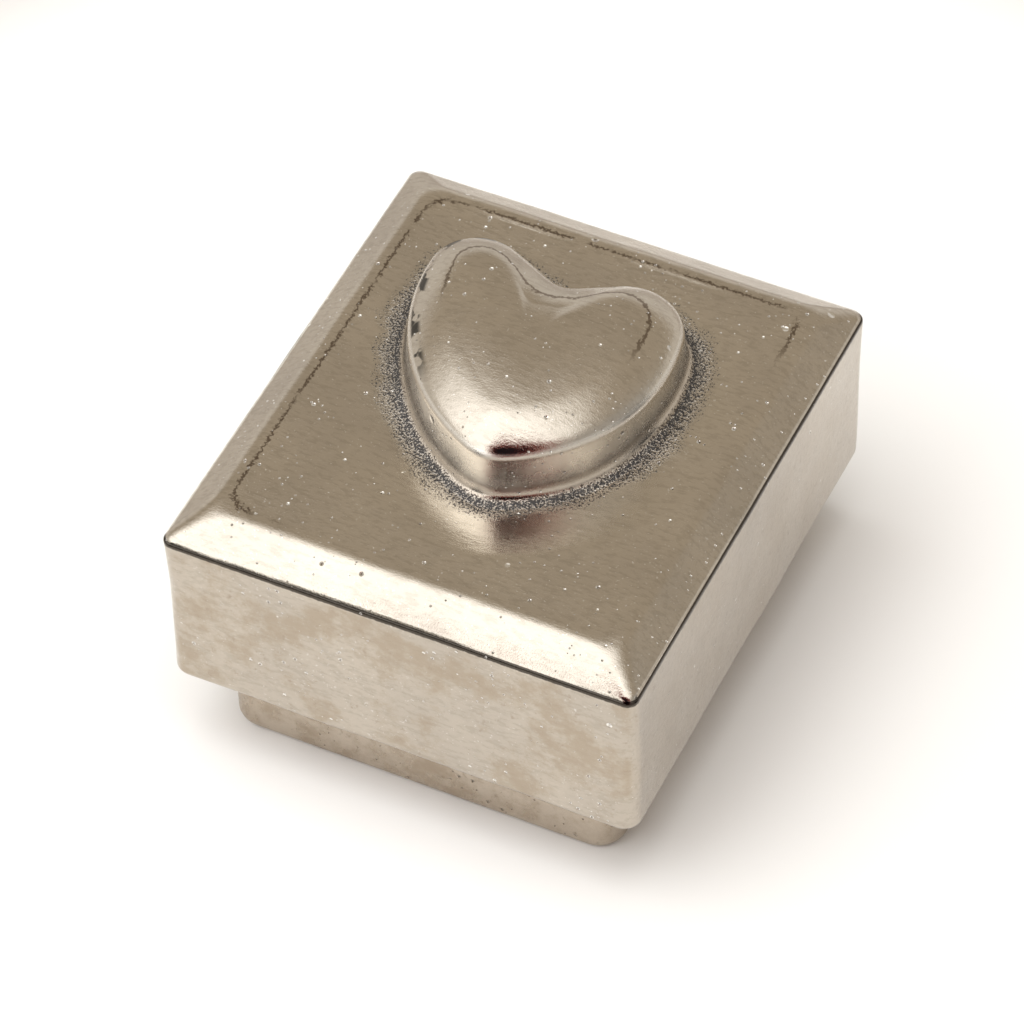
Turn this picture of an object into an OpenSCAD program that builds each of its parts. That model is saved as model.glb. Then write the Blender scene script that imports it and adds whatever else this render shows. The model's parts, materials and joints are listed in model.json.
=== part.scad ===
// Cast metal music box: a lift-off lid with a raised heart, and a base that holds
// a wind-up comb movement. The winding key sits in a recess under the base.
// Origin: centre of the footprint, on the surface it stands on. +Z up, front is -Y.

/* [Box] */
// Width of the lid, left to right
box_w = 80; // [78:0.5:90]
// Depth of the lid, front to back
box_d = 89.3; // [88:0.1:100]
// Height of the lid's lower edge above the surface the box stands on
skirt_z = 15.4; // [14:0.1:20]
// Height of the crease where the lid's side turns into its bevel
crease_z = 46.4; // [46:0.1:50]
// Height of the lid's flat top
top_z = 50.7; // [50:0.1:54]
// Width of the bevel around the lid's top
bevel_w = 8.4; // [4:0.1:9]
// Thickness of the lid's side walls
lid_wall = 5.5; // [4:0.1:6]
// Thickness of the lid's roof
lid_roof = 5.2; // [3:0.1:5.5]
// Gap between the lid's side and the base, all round
lid_gap = 0.8; // [0.4:0.1:1]
// Corner radius of the lid at its crease, seen from above
lid_corner_r = 1.8; // [1.5:0.1:4]
// Corner radius of the lid's sides lower down
skirt_corner_r = 2.8; // [2:0.1:6]
// Thickness of the base's side walls
base_wall = 3; // [2.5:0.1:3.2]
// Corner radius of the base, seen from above
base_corner_r = 4.6; // [4.4:0.1:8]

/* [Heart] */
// Height of the heart above the lid's flat top
heart_h = 11.5; // [10:0.1:14]
// Width that the heart's curves are drawn from, about its width across the lobes
heart_w = 44.6; // [36:0.1:46]
// Sideways lean of the heart, in mm for each mm from its notch towards its point
heart_lean = 0.11; // [0:0.01:0.2]

/* [Key recess] */
// Depth of the recess under the base
recess_h = 11; // [10.6:0.1:11]
// Width of the recess
recess_w = 52; // [48:1:54]
// Length of the recess
recess_d = 61; // [58:1:62]
// Thickness of the floor between the recess and the movement
web_t = 2.5; // [2.5:0.1:2.6]
// Distance of the winding arbor behind the box's centre
arbor_y = 9; // [8.8:0.1:9.2]

/* [Gear train] */
// Teeth of the great wheel
great_teeth = 36; // [36:1:36]
// Teeth of the pinion on the pinned cylinder
pinion_teeth = 15; // [15:1:15]
// Module of the great wheel and its pinion
drive_m = 0.75; // [0.75:0.05:0.75]
// Teeth of the gear at the cylinder's front end
train_teeth = 32; // [32:1:32]
// Teeth of the governor pinion
gov_pinion_teeth = 8; // [8:1:8]
// Teeth of the worm wheel
worm_wheel_teeth = 24; // [24:1:24]
// Starts of the worm's thread
worm_starts = 2; // [2:1:2]
// Module of the governor's gears and its worm
fine_m = 0.4; // [0.4:0.05:0.4]

/* [Comb] */
// Notes of the comb
notes = 18; // [12:1:18]
// Distance from one note to the next
note_pitch = 1; // [1:0.1:1]
// Radial gap between the pins' points and the comb's tips
pin_gap = 0.08; // [0.05:0.01:0.12]
// Pins in each note's ring on the cylinder
pins_per_note = 5; // [2:1:6]

/* [Hidden] */
$fn = 48;
eps = 0.01;
slack = 0.3;        // gap between loose neighbours
bearing = 0.04;     // radial clearance of a turning shaft in its bearing
seat = 0.02;        // radial gap of a screw or arbor that doesn't turn in its hole
screw_play = 0.15;  // radial play of a screw where it passes through a piece

// Box
base_w = box_w - 2 * (lid_wall + lid_gap);
base_d = box_d - 2 * (lid_wall + lid_gap);
ceiling_z = top_z - lid_roof;
rim_z = ceiling_z - 0.1;
heart_at = [-0.2, 3.5];
inner_w = base_w - 2 * base_wall;
inner_d = base_d - 2 * base_wall;
inner_r = base_corner_r - base_wall;
floor_z = recess_h + web_t;
lining_t = 1;

// Cover over the movement, on four corner posts
cover_z = 36;
cover_t = 2;
post_r = 3.2;
post_x = inner_w / 2 - post_r - 0.2;
post_y = inner_d / 2 - post_r - 0.2;

// Movement, measured from the arbor's axis at the bedplate's underside
plate_t = 2.5;
plate_x0 = -20;
plate_x1 = 22;
plate_y0 = -42.2;
plate_y1 = 12.5;
drum_r = 11;
drum_wall = 0.8;
drum_top = 14.5;
ear_t = 0.9;
ear_r = 2;
great_r = great_teeth * drive_m / 2;
great_face = 1.6;
great_z = 16.5;
great_t = 1.5;
tooth_drop = 0.75;
drive_pinion_r = pinion_teeth * drive_m / 2;
axis_z = great_z - tooth_drop - drive_pinion_r;
arbor_r = 2;
hub_r = 3;

// Cylinder, along Y
cyl_r = 6.5;
tube_t = 0.6;
plug_r = cyl_r - tube_t - seat;
pin_h = 0.8;
pin_r = 0.16;
cyl_y1 = -14.9;
cyl_y0 = -34.1;
cyl_arbor_r = 0.9;
first_note_y = -15.9;
pinion_y0 = -14.4;
pinion_y1 = -12.6;
train_y0 = -36.3;
train_y1 = -35.1;
train_r = train_teeth * fine_m / 2;

// Governor
gov_pinion_r = gov_pinion_teeth * fine_m / 2;
wheel_r = worm_wheel_teeth * fine_m / 2;
worm_r = 1.3;
worm_lead = worm_starts * PI * fine_m;
gov_x = -(train_r + gov_pinion_r);
worm_x = gov_x - wheel_r - worm_r;
wheel_y0 = -37.9;
wheel_y1 = -36.7;
worm_y = (wheel_y0 + wheel_y1) / 2;
worm_len = 5.5;
fly_r = 4;
fly_z0 = 15.4;
fly_z1 = 17.9;
cap_z = fly_z1 + 0.6;
cap_t = 0.8;
frame_foot_t = 1.4;
gov_arbor_r = 0.5;

// Comb
tooth_t = 0.45;
tip_x = cyl_r + pin_h + pin_gap;
comb_back = 22;
comb_body_t = 1.6;

// Stop rod
rod_x = -21.5;
rod_r = 1;
rod_top = ceiling_z - lining_t - 0.1 - floor_z;
pad_x = worm_x - 2.9;
arm_z = 18.9;
arm_t = 0.5;
guide_h = 5.5;
guide_foot_t = 1.2;
button_h = 2.4;

// Screws: head radius, head height, shank radius
small_screw = [1.3, 0.8, 0.6];
comb_screw = [2.1, 1.2, 1.2];
cover_screw = [1.9, 1.3, 1];
plate_screw = [2.7, 1.8, 1.5];

// Places of the screws, as [x, y]
plate_screw_at = [[-16, 9], [17, 9], [-16, -26], [17, -35.5]];
comb_screw_at = [[19, -19.5], [19, -29.3]];
drum_ear_at = [40, 140, 200, 340];
drum_ear_r = 12.6;
rear_feet = [[-8.5, -13.7], [8.5, -13.7]];
front_feet = [[-4.8, -40.8], [4.8, -40.8]];
gov_screw_at = [[-17.1, -34.4], [-9.4, -32.5]];
guide_screw_at = [-21.5, -41];
cap_screw_y = -31.95;

// ---------- Shared shapes ----------

module movement_frame() translate([0, arbor_y, floor_z]) children();

// Turns a shape drawn along +Z so that it lies along +Y, with its start at y
module along_y(y) translate([0, y, 0]) rotate([-90, 0, 0]) children();

// Flat rectangle with round corners, centred
module round_rect(w, d, r) {
    square([w - 2 * r, d], center = true);
    square([w, d - 2 * r], center = true);
    for (x = [-1, 1], y = [-1, 1])
        translate([x * (w / 2 - r), y * (d / 2 - r)]) circle(r);
}

module round_block(w, d, h, r) linear_extrude(h) round_rect(w, d, r);

// Ring of points of a round-cornered rectangle at height z
function rect_ring(w, d, r, z, n = 8) = [
    for (c = [0:3], i = [0:n])
        let (a = 90 * c + 90 * i / n,
             sx = (c == 0 || c == 3) ? 1 : -1,
             sy = (c < 2) ? 1 : -1)
        [sx * (w / 2 - r) + r * cos(a), sy * (d / 2 - r) + r * sin(a), z]];

// Solid through rings that all have the same number of points, lowest ring first
module loft(rings) {
    n = len(rings[0]);
    points = [for (ring = rings, p = ring) p];
    sides = [for (k = [0:len(rings) - 2], i = [0:n - 1])
        let (j = (i + 1) % n, a = k * n, b = a + n)
        each [[a + i, b + i, b + j], [a + i, b + j, a + j]]];
    bottom = [for (i = [0:n - 1]) i];
    top = [for (i = [n - 1:-1:0]) (len(rings) - 1) * n + i];
    polyhedron(points, concat([bottom], sides, [top]));
}

// Wire of radius r swept along points, with a frame that keeps one side up
module wire(path, r, sides = 6) {
    last = len(path) - 1;
    rings = [for (i = [0:last])
        let (t = path[min(i + 1, last)] - path[max(i - 1, 0)],
             u = t / norm(t),
             s = cross(u, [0, 0, 1]) / norm(cross(u, [0, 0, 1])),
             v = cross(s, u))
        [for (k = [0:sides - 1]) path[i] + r * (s * cos(360 * k / sides) + v * sin(360 * k / sides))]];
    loft(rings);
}

// Points of a coil spring's centre line, standing along Z
function coil(r, z0, z1, turns, steps = 18) = [
    for (i = [0:turns * steps])
        let (a = 360 * i / steps, f = i / (turns * steps))
        [r * cos(a), r * sin(a), z0 + (z1 - z0) * f]];

// Slotted screw standing on z = 0, with its shank reaching down
module screw(size, length) {
    difference() {
        union() {
            cylinder(r = size[0], h = size[1]);
            translate([0, 0, -length]) cylinder(r = size[2] - seat, h = length + eps);
        }
        translate([-size[0] - 1, -0.25, size[1] * 0.55]) cube([2 * size[0] + 2, 0.5, size[1]]);
    }
}

module screw_hole(size, depth) translate([0, 0, -depth]) cylinder(r = size[2], h = depth + 1);

// ---------- Gear outlines ----------

function involute(a) = tan(a) - a * PI / 180;

// Half of a tooth's angle at radius r, for a gear of pitch radius p
function tooth_half(r, p, z, thin) =
    let (base = p * cos(20),
         a = r > base ? acos(base / r) : 0)
    90 / z * thin + (involute(20) - involute(a)) * 180 / PI;

// Outline of a spur gear; thin is the share of the full tooth that is left for backlash
function gear_outline(z, m, add, ded, thin, steps = 4) =
    let (p = z * m / 2, r0 = p - ded, r1 = p + add)
    [for (t = [0:z - 1], side = [-1, 1], i = [0:steps])
        let (f = side < 0 ? i / steps : 1 - i / steps,
             r = r0 + (r1 - r0) * f,
             a = 360 * t / z + side * max(tooth_half(r, p, z, thin), 0.8))
        [r * cos(a), r * sin(a)]];

// ---------- Lid ----------

// The heart's right half is a straight run up from the notch, then three arcs that meet
// smoothly: the lobe, a long flank, and the point
lobe_r = 0.195 * heart_w;
lobe_at = [0.293 * heart_w, 0.3 * heart_w];
notch_y = 0.373 * heart_w;
tip_r = 0.13 * heart_w;
tip_y = -0.335 * heart_w;
flank_r = 0.74 * heart_w;

// Centre of the flank's arc, which touches the lobe and the point from outside
flank_at =
    let (gap = [0, tip_y] - lobe_at, d = norm(gap), u = gap / d,
         a = flank_r - lobe_r, b = flank_r - tip_r,
         along = (a * a - b * b + d * d) / (2 * d),
         away = sqrt(a * a - along * along))
    lobe_at + along * u + away * [u[1], -u[0]];

function heading(v) = atan2(v[1], v[0]);
function arc(c, r, a0, a1, n) =
    [for (i = [0:n]) let (a = a0 + (a1 - a0) * i / n) c + r * [cos(a), sin(a)]];

// Right half of the outline, from the notch down to the point
heart_half =
    let (to_lobe = lobe_at - [0, notch_y],
         rise = heading(to_lobe) + asin(lobe_r / norm(to_lobe)),
         lobe_end = heading(lobe_at - flank_at),
         flank_end = heading([0, tip_y] - flank_at))
    concat([[0, notch_y]],
           arc(lobe_at, lobe_r, rise + 90, lobe_end, 9),
           arc(flank_at, flank_r, lobe_end - 2, flank_end + 2, 5),
           arc([0, tip_y], tip_r, flank_end, -90, 4));

// Ring of the heart, grown or shrunk by scale s about its own middle
function heart_ring(s, z) =
    let (half = heart_half, n = len(half),
         outline = concat(half, [for (i = [n - 2:-1:1]) [-half[i][0], half[i][1]]]))
    [for (k = [len(outline) - 1:-1:0])
        let (p = s * outline[k])
        [heart_at[0] + p[0] - heart_lean * p[1], heart_at[1] + p[1], z]];

// The heart's side: a flare at its foot, a waist, and a crown that rounds over to the top
module heart() {
    flare = 0.13;
    flare_h = 3.6;
    draft = 0.05;
    sunk = 1;
    rim_h = 7.5;
    round_share = 0.2;
    dome = 0.9;
    crown_h = heart_h - rim_h - dome;
    foot = [for (a = [0:30:90])
        [1 + draft + flare * (1 - sin(a)), -sunk + (flare_h + sunk) * (1 - cos(a))]];
    crown = [for (a = [0:18:90])
        [1 - round_share * (1 - cos(a)), rim_h + crown_h * sin(a)]];
    top = [[0.45, heart_h - dome / 4], [0.1, heart_h]];
    loft([for (k = concat(foot, crown, top)) heart_ring(k[0], top_z + k[1])]);
}

// Share of the bevel's drop at share s of its width, counted from the flat top: the bevel
// curves away over its first part and then runs straight down to the crease
bevel_round = 0.45;
function bevel_drop(s) =
    (s < bevel_round ? s * s / (2 * bevel_round) : s - bevel_round / 2) / (1 - bevel_round / 2);

module lid_body() {
    edge = 1.4;
    corner_growth = 0.35;
    soft_below = 10;
    skirt = [for (a = [0:30:90])
        [edge * (1 - sin(a)), skirt_z + edge * (1 - cos(a)), skirt_corner_r]];
    side = [[0, crease_z - soft_below, skirt_corner_r]];
    bevel = [for (s = [0, 0.3, 0.55, 0.7, 0.85, 1])
        let (inset = bevel_w * s)
        [inset, top_z - (top_z - crease_z) * bevel_drop(1 - s), lid_corner_r + corner_growth * inset]];
    loft([for (k = concat(skirt, side, bevel))
        rect_ring(box_w - 2 * k[0], box_d - 2 * k[0], k[2], k[1])]);
}

module lid() color([0.78, 0.74, 0.68]) {
    difference() {
        union() {
            lid_body();
            heart();
        }
        translate([0, 0, skirt_z - 1])
            round_block(box_w - 2 * lid_wall, box_d - 2 * lid_wall, ceiling_z - skirt_z + 1, 5);
    }
}

module lid_lining() color([0.12, 0.11, 0.12])
    translate([0, 0, ceiling_z - lining_t])
        round_block(inner_w - 1.4, inner_d - 1.4, lining_t, inner_r);

// ---------- Base ----------

module base_shell() color([0.74, 0.7, 0.64]) {
    edge = 1.8;
    foot = [for (a = [0:22.5:90]) [edge * (1 - sin(a)), edge * (1 - cos(a))]];
    rings = [for (k = concat(foot, [[0, rim_z]]))
        rect_ring(base_w - 2 * k[0], base_d - 2 * k[0], base_corner_r, k[1])];
    difference() {
        union() {
            difference() {
                loft(rings);
                translate([0, 0, floor_z])
                    round_block(inner_w, inner_d, rim_z, inner_r);
            }
            for (x = [-1, 1], y = [-1, 1])
                translate([x * post_x, y * post_y, floor_z - eps])
                    cylinder(r = post_r, h = cover_z - floor_z + eps);
        }
        translate([0, 0, -1])
            round_block(recess_w, recess_d, recess_h + 1, 5);
        for (x = [-1, 1], y = [-1, 1])
            translate([x * post_x, y * post_y, cover_z]) screw_hole(cover_screw, 8);
        movement_frame() {
            translate([0, 0, -web_t - 1]) cylinder(r = arbor_r + 1.2, h = web_t + 2);
            for (p = plate_screw_at) translate([p[0], p[1], -web_t - 1])
                cylinder(r = plate_screw[2] + screw_play, h = web_t + 2);
        }
    }
}

module movement_screws() color([0.7, 0.7, 0.72])
    movement_frame() for (p = plate_screw_at)
        translate([p[0], p[1], -web_t]) rotate([180, 0, 0]) screw(plate_screw, web_t + 2.2);

module movement_cover() color([0.85, 0.9, 0.92, 0.4])
    difference() {
        translate([0, 0, cover_z]) round_block(inner_w - 0.6, inner_d - 0.6, cover_t, inner_r);
        for (x = [-1, 1], y = [-1, 1])
            translate([x * post_x, y * post_y, cover_z - 1])
                cylinder(r = cover_screw[2] + 0.1, h = cover_t + 2);
        movement_frame() translate([rod_x, worm_y, cover_z - floor_z - 1])
            cylinder(r = rod_r + 0.3, h = cover_t + 2);
    }

module cover_screws() color([0.8, 0.8, 0.78])
    for (x = [-1, 1], y = [-1, 1])
        translate([x * post_x, y * post_y, cover_z + cover_t]) screw(cover_screw, cover_t + 7);

// ---------- Movement: fixed pieces ----------

// Places of the ears that hold the spring housing
function drum_ears() = [for (a = drum_ear_at) [drum_ear_r * cos(a), drum_ear_r * sin(a)]];

module bedplate() color([0.62, 0.62, 0.6])
    movement_frame() difference() {
        union() {
            translate([(plate_x0 + plate_x1) / 2, (plate_y0 + plate_y1) / 2, 0])
                round_block(plate_x1 - plate_x0, plate_y1 - plate_y0, plate_t, 2);
            translate([-23.8, -42, 0]) cube([8, 8.5, plate_t]);
            translate([16, -34.4, 0]) cube([plate_x1 - 16, 20, axis_z - tooth_t / 2]);
        }
        translate([0, 0, -1]) cylinder(r = arbor_r + bearing, h = plate_t + 2);
        for (p = plate_screw_at) translate([p[0], p[1], -1]) cylinder(r = plate_screw[2], h = 3.3);
        for (p = comb_screw_at) translate([p[0], p[1], axis_z - tooth_t / 2]) screw_hole(comb_screw, 5.2);
        for (p = concat(drum_ears(), rear_feet, front_feet, gov_screw_at, [guide_screw_at]))
            translate([p[0], p[1], plate_t]) screw_hole(small_screw, 1.8);
    }

module spring_housing() color([0.8, 0.79, 0.76])
    movement_frame() difference() {
        union() {
            translate([0, 0, plate_t]) cylinder(r = drum_r, h = drum_top - plate_t);
            for (p = drum_ears()) translate([p[0], p[1], plate_t]) cylinder(r = ear_r, h = ear_t);
        }
        translate([0, 0, plate_t + drum_wall]) cylinder(r = drum_r - drum_wall, h = drum_top);
        translate([0, 0, 0]) cylinder(r = arbor_r + 0.2, h = 5);
        for (p = drum_ears()) translate([p[0], p[1], plate_t + ear_t]) screw_hole(small_screw, 1.9);
    }

// Flat spiral spring, drawn half wound
module mainspring() color([0.35, 0.38, 0.45]) {
    turns = 7;
    steps = 30;
    strip = 0.3;
    r0 = hub_r + 0.4;
    r1 = drum_r - drum_wall - strip;
    count = turns * steps;
    inner = [for (i = [0:count]) let (r = r0 + (r1 - r0) * i / count, a = 360 * i / steps)
        [r * cos(a), r * sin(a)]];
    outer = [for (i = [count:-1:0]) let (r = r0 + strip + (r1 - r0) * i / count, a = 360 * i / steps)
        [r * cos(a), r * sin(a)]];
    movement_frame() translate([0, 0, plate_t + drum_wall + 0.3])
        linear_extrude(9.6) polygon(concat(inner, outer));
}

module housing_screws() color([0.75, 0.72, 0.62])
    movement_frame() for (p = drum_ears())
        translate([p[0], p[1], plate_t + ear_t]) screw(small_screw, 2.6);

// Upright plate with a bearing hole, its back at y, on two feet that reach forward
module bearing_bracket(y, feet) {
    t = 0.9;
    foot_len = 2.7;
    foot_t = 1;
    foot_w = 4;
    boss_r = 3.4;
    difference() {
        union() {
            translate([-boss_r, y - t, plate_t]) cube([2 * boss_r, t, axis_z - plate_t]);
            translate([0, 0, axis_z]) along_y(y - t) cylinder(r = boss_r, h = t);
            translate([feet[0][0] - foot_w / 2, y - t, plate_t])
                cube([feet[1][0] - feet[0][0] + foot_w, t, 2]);
            for (p = feet)
                translate([p[0] - foot_w / 2, y - t - foot_len, plate_t]) cube([foot_w, foot_len + t, foot_t]);
        }
        translate([0, 0, axis_z]) along_y(y - t - 1) cylinder(r = cyl_arbor_r + bearing, h = t + 2);
        for (p = feet) translate([p[0], p[1], plate_t + foot_t]) screw_hole(small_screw, foot_t + 1);
    }
}

module rear_bracket() color([0.72, 0.72, 0.7]) movement_frame() bearing_bracket(-11.4, rear_feet);

module front_bracket() color([0.72, 0.72, 0.7]) movement_frame() bearing_bracket(-38.5, front_feet);

module bracket_screws() color([0.75, 0.72, 0.62])
    movement_frame() {
        for (p = concat(rear_feet, front_feet)) translate([p[0], p[1], plate_t + 1]) screw(small_screw, 2.7);
        translate([guide_screw_at[0], guide_screw_at[1], plate_t + guide_foot_t]) screw(small_screw, 2.9);
    }

// Steel comb: teeth get shorter from the low notes at the front to the high ones at the back
module comb() color([0.8, 0.8, 0.82])
    movement_frame() difference() {
        union() {
            for (i = [0:notes - 1]) translate([tip_x, note_y(i) - 0.35, axis_z - tooth_t / 2])
                cube([comb_root(i) - tip_x + 0.5, 0.7, tooth_t]);
            translate([0, 0, axis_z - tooth_t / 2]) linear_extrude(comb_body_t)
                polygon([[comb_root(0), note_y(0) + 0.6], [comb_back, note_y(0) + 0.6],
                         [comb_back, note_y(notes - 1) - 0.6],
                         [comb_root(notes - 1), note_y(notes - 1) - 0.6]]);
        }
        for (p = comb_screw_at)
            translate([p[0], p[1], axis_z - 2]) cylinder(r = comb_screw[2] + screw_play, h = 5);
    }

function note_y(i) = first_note_y - note_pitch * i;
function comb_root(i) = 12 + 3.6 * i / (notes - 1);

// Lead weights soldered under the low notes' teeth
module comb_weights() color([0.45, 0.46, 0.5])
    movement_frame() for (i = [notes - 8:notes - 1]) {
        drop = 0.5 + 0.14 * (i - notes + 8);
        translate([tip_x + 0.7, note_y(i) - 0.3, axis_z - tooth_t / 2 - drop]) cube([2, 0.6, drop]);
    }

module comb_screws() color([0.75, 0.72, 0.62])
    movement_frame() for (p = comb_screw_at)
        translate([p[0], p[1], axis_z - tooth_t / 2 + comb_body_t]) screw(comb_screw, comb_body_t + 4.6);

// Moulded frame with the bearings of the governor wheel and of the worm's lower pivot
module governor_frame() color([0.9, 0.89, 0.84])
    movement_frame() difference() {
        union() {
            translate([-18.6, -39.4, plate_t]) cube([11.7, 8.2, frame_foot_t]);
            for (y = [-34.8, -39.4]) {
                translate([gov_x - 2, y, plate_t]) cube([3.1, 0.9, axis_z - plate_t]);
                translate([gov_x - 0.45, 0, axis_z]) along_y(y) cylinder(r = 1.55, h = 0.9);
            }
            translate([worm_x, worm_y, plate_t]) cylinder(r = 1.8, h = 3);
            translate([worm_x - 3, -32.7, plate_t]) cube([6, 1.5, cap_z - plate_t]);
        }
        translate([gov_x, 0, axis_z]) along_y(-40) cylinder(r = gov_arbor_r + bearing, h = 8);
        translate([worm_x, worm_y, plate_t + 1.6]) cylinder(r = gov_arbor_r + bearing, h = 3);
        for (p = gov_screw_at) translate([p[0], p[1], plate_t + frame_foot_t]) screw_hole(small_screw, 3);
        translate([worm_x, cap_screw_y, cap_z]) screw_hole([1, 0.6, 0.45], 3);
    }

// Bridge over the fly that holds the worm's upper pivot
module governor_cap() color([0.72, 0.72, 0.7])
    movement_frame() translate([0, 0, cap_z]) difference() {
        union() {
            translate([worm_x - 1.4, worm_y, 0]) cube([2.8, -31.2 - worm_y, cap_t]);
            translate([worm_x, worm_y, 0]) cylinder(r = 1.4, h = cap_t);
        }
        translate([worm_x, worm_y, -1]) cylinder(r = gov_arbor_r + bearing, h = 3);
        translate([worm_x, cap_screw_y, -1]) cylinder(r = 0.5, h = 3);
    }

module governor_screws() color([0.75, 0.72, 0.62])
    movement_frame() {
        for (p = gov_screw_at) translate([p[0], p[1], plate_t + frame_foot_t]) screw(small_screw, 3);
        translate([worm_x, cap_screw_y, cap_z + cap_t]) screw([0.9, 0.5, 0.45], 3.4);
    }

module stop_guide() color([0.9, 0.89, 0.84])
    movement_frame() difference() {
        union() {
            translate([rod_x - 2.1, -39.4, plate_t]) cube([4.2, 4.2, guide_h]);
            translate([rod_x - 2.1, -42.2 + slack, plate_t]) cube([4.2, 3, guide_foot_t]);
        }
        translate([rod_x, worm_y, plate_t - 1]) cylinder(r = rod_r + 0.06, h = 8);
        translate([guide_screw_at[0], guide_screw_at[1], plate_t + guide_foot_t]) screw_hole(small_screw, 2);
    }

// Coil spring that lifts the stop rod, drawn pressed down by the closed lid
module stop_spring() color([0.6, 0.62, 0.65])
    movement_frame() translate([rod_x, worm_y, 0])
        wire(coil(1.45, plate_t + guide_h + 0.25, 12.75, 5), 0.22);

// ---------- Movement: turning pieces ----------

// Crown wheel: teeth point down from the rim and mesh with the cylinder's pinion below
module great_wheel() color([0.82, 0.68, 0.36])
    movement_frame() difference() {
        union() {
            translate([0, 0, great_z]) cylinder(r = great_r + great_face / 2 + 0.1, h = great_t);
            translate([0, 0, great_z + great_t - eps]) cylinder(r = hub_r, h = 1.2 + eps);
            for (i = [0:great_teeth - 1]) rotate([0, 0, 360 * i / great_teeth - 90])
                translate([great_r - great_face / 2, 0, great_z - tooth_drop]) rotate([90, 0, 90])
                    linear_extrude(great_face)
                        polygon([[-0.25, -0.6], [0.25, -0.6], [0.75, 0.76], [-0.75, 0.76]]);
        }
        translate([0, 0, great_z - 1]) cylinder(r = arbor_r + bearing, h = 6);
        for (a = [0:60:300]) rotate([0, 0, a + 30])
            translate([7.6, 0, great_z - 1]) cylinder(r = 2.3, h = 4);
    }

module clutch_spring() color([0.6, 0.62, 0.65])
    movement_frame() wire(coil(hub_r + 0.35, great_z + great_t + 0.35, great_z + great_t + 2.15, 4), 0.22);

// Winding arbor: threaded foot for the key, hub for the mainspring, journal for the wheel
module winding_arbor() color([0.72, 0.73, 0.75])
    movement_frame() difference() {
        union() {
            translate([0, 0, -11.5]) cylinder(r = 1.5, h = 8);
            translate([0, 0, -3.6]) cylinder(r = arbor_r, h = 25);
            translate([0, 0, plate_t + drum_wall + 0.2])
                cylinder(r = hub_r, h = great_z - plate_t - drum_wall - 0.5);
        }
        difference() {
            translate([0, 0, 20.55]) cylinder(r = 3, h = 0.5);
            translate([0, 0, 20.5]) cylinder(r = 1.5, h = 0.6);
        }
        translate([hub_r - 0.6, -0.3, plate_t + 2]) cube([1, 0.6, 8]);
    }

module clutch_collar() color([0.8, 0.68, 0.4])
    movement_frame() translate([0, 0, great_z + great_t + 1.3]) difference() {
        cylinder(r = hub_r, h = 1.2);
        translate([0, 0, -1]) cylinder(r = arbor_r + seat, h = 3);
    }

module retaining_clip() color([0.3, 0.3, 0.32])
    movement_frame() translate([0, 0, 20.6]) difference() {
        cylinder(r = 3.2, h = 0.4);
        translate([0, 0, -1]) cylinder(r = 1.5 + seat, h = 3);
        translate([0, -1, -1]) cube([5, 2, 3]);
        for (a = [120, 240]) rotate([0, 0, a]) translate([1.9, 0, -1]) cylinder(r = 0.7, h = 3);
    }

module winding_key() color([0.8, 0.78, 0.72])
    movement_frame() difference() {
        union() {
            translate([0, 0, -12.6]) cylinder(r = 2.6, h = 8.6);
            rotate([90, 0, 0]) translate([0, 0, -0.8]) linear_extrude(1.6) difference() {
                union() {
                    for (x = [-1, 1]) translate([x * 6.9, -8.4]) circle(4.2);
                    translate([-6.9, -10.6]) square([13.8, 4.4]);
                }
                for (x = [-1, 1]) translate([x * 7.2, -8.4]) circle(2);
            }
        }
        translate([0, 0, -11.6]) cylinder(r = 1.5 + seat, h = 9);
    }

// Pinned brass tube; each note has a ring of pins, spread by the golden angle
module pinned_tube() {
    golden = 137.5;
    sunk = 0.3;
    difference() {
        along_y(cyl_y0) cylinder(r = cyl_r, h = cyl_y1 - cyl_y0);
        along_y(cyl_y0 - 1) cylinder(r = cyl_r - tube_t, h = cyl_y1 - cyl_y0 + 2);
    }
    for (i = [0:notes - 1], k = [0:pins_per_note - 1])
        translate([0, note_y(i), 0])
            rotate([0, golden * (i + 1) + 360 * (k + 0.23 * (i * k % 3)) / pins_per_note, 0])
                translate([0, 0, cyl_r - sunk]) cylinder(r = pin_r, h = pin_h + sunk, $fn = 16);
}

module tune_cylinder() color([0.85, 0.7, 0.38])
    movement_frame() translate([0, 0, axis_z]) pinned_tube();

module cylinder_arbor() color([0.72, 0.73, 0.75])
    movement_frame() translate([0, 0, axis_z]) along_y(-39.9) cylinder(r = cyl_arbor_r, h = 28.4);

// Moulded pinion that the great wheel drives, with a plug in the tube's back end
module cylinder_pinion() color([0.9, 0.89, 0.84])
    movement_frame() translate([0, 0, axis_z]) difference() {
        union() {
            along_y(pinion_y0) linear_extrude(pinion_y1 - pinion_y0)
                rotate(180 / pinion_teeth - 90)
                    polygon(gear_outline(pinion_teeth, drive_m, 0.6, 0.8, 0.8));
            along_y(cyl_y1) cylinder(r = 6.1, h = 0.3);
            along_y(cyl_y1) cylinder(r = 4.6, h = pinion_y0 - cyl_y1 + eps);
            along_y(cyl_y1 - 2) cylinder(r = plug_r, h = 2 + eps);
        }
        along_y(-18) cylinder(r = cyl_arbor_r + seat, h = 6);
    }

// Moulded gear at the cylinder's front end, which drives the governor
module train_gear() color([0.9, 0.89, 0.84])
    movement_frame() translate([0, 0, axis_z]) difference() {
        union() {
            along_y(train_y0) linear_extrude(train_y1 - train_y0)
                polygon(gear_outline(train_teeth, fine_m, 0.36, 0.46, 0.8));
            along_y(train_y1 - eps) cylinder(r = 5.6, h = cyl_y0 - train_y1 + eps);
            along_y(cyl_y0 - eps) cylinder(r = plug_r, h = 2);
        }
        along_y(-38) cylinder(r = cyl_arbor_r + seat, h = 8);
    }

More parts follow.
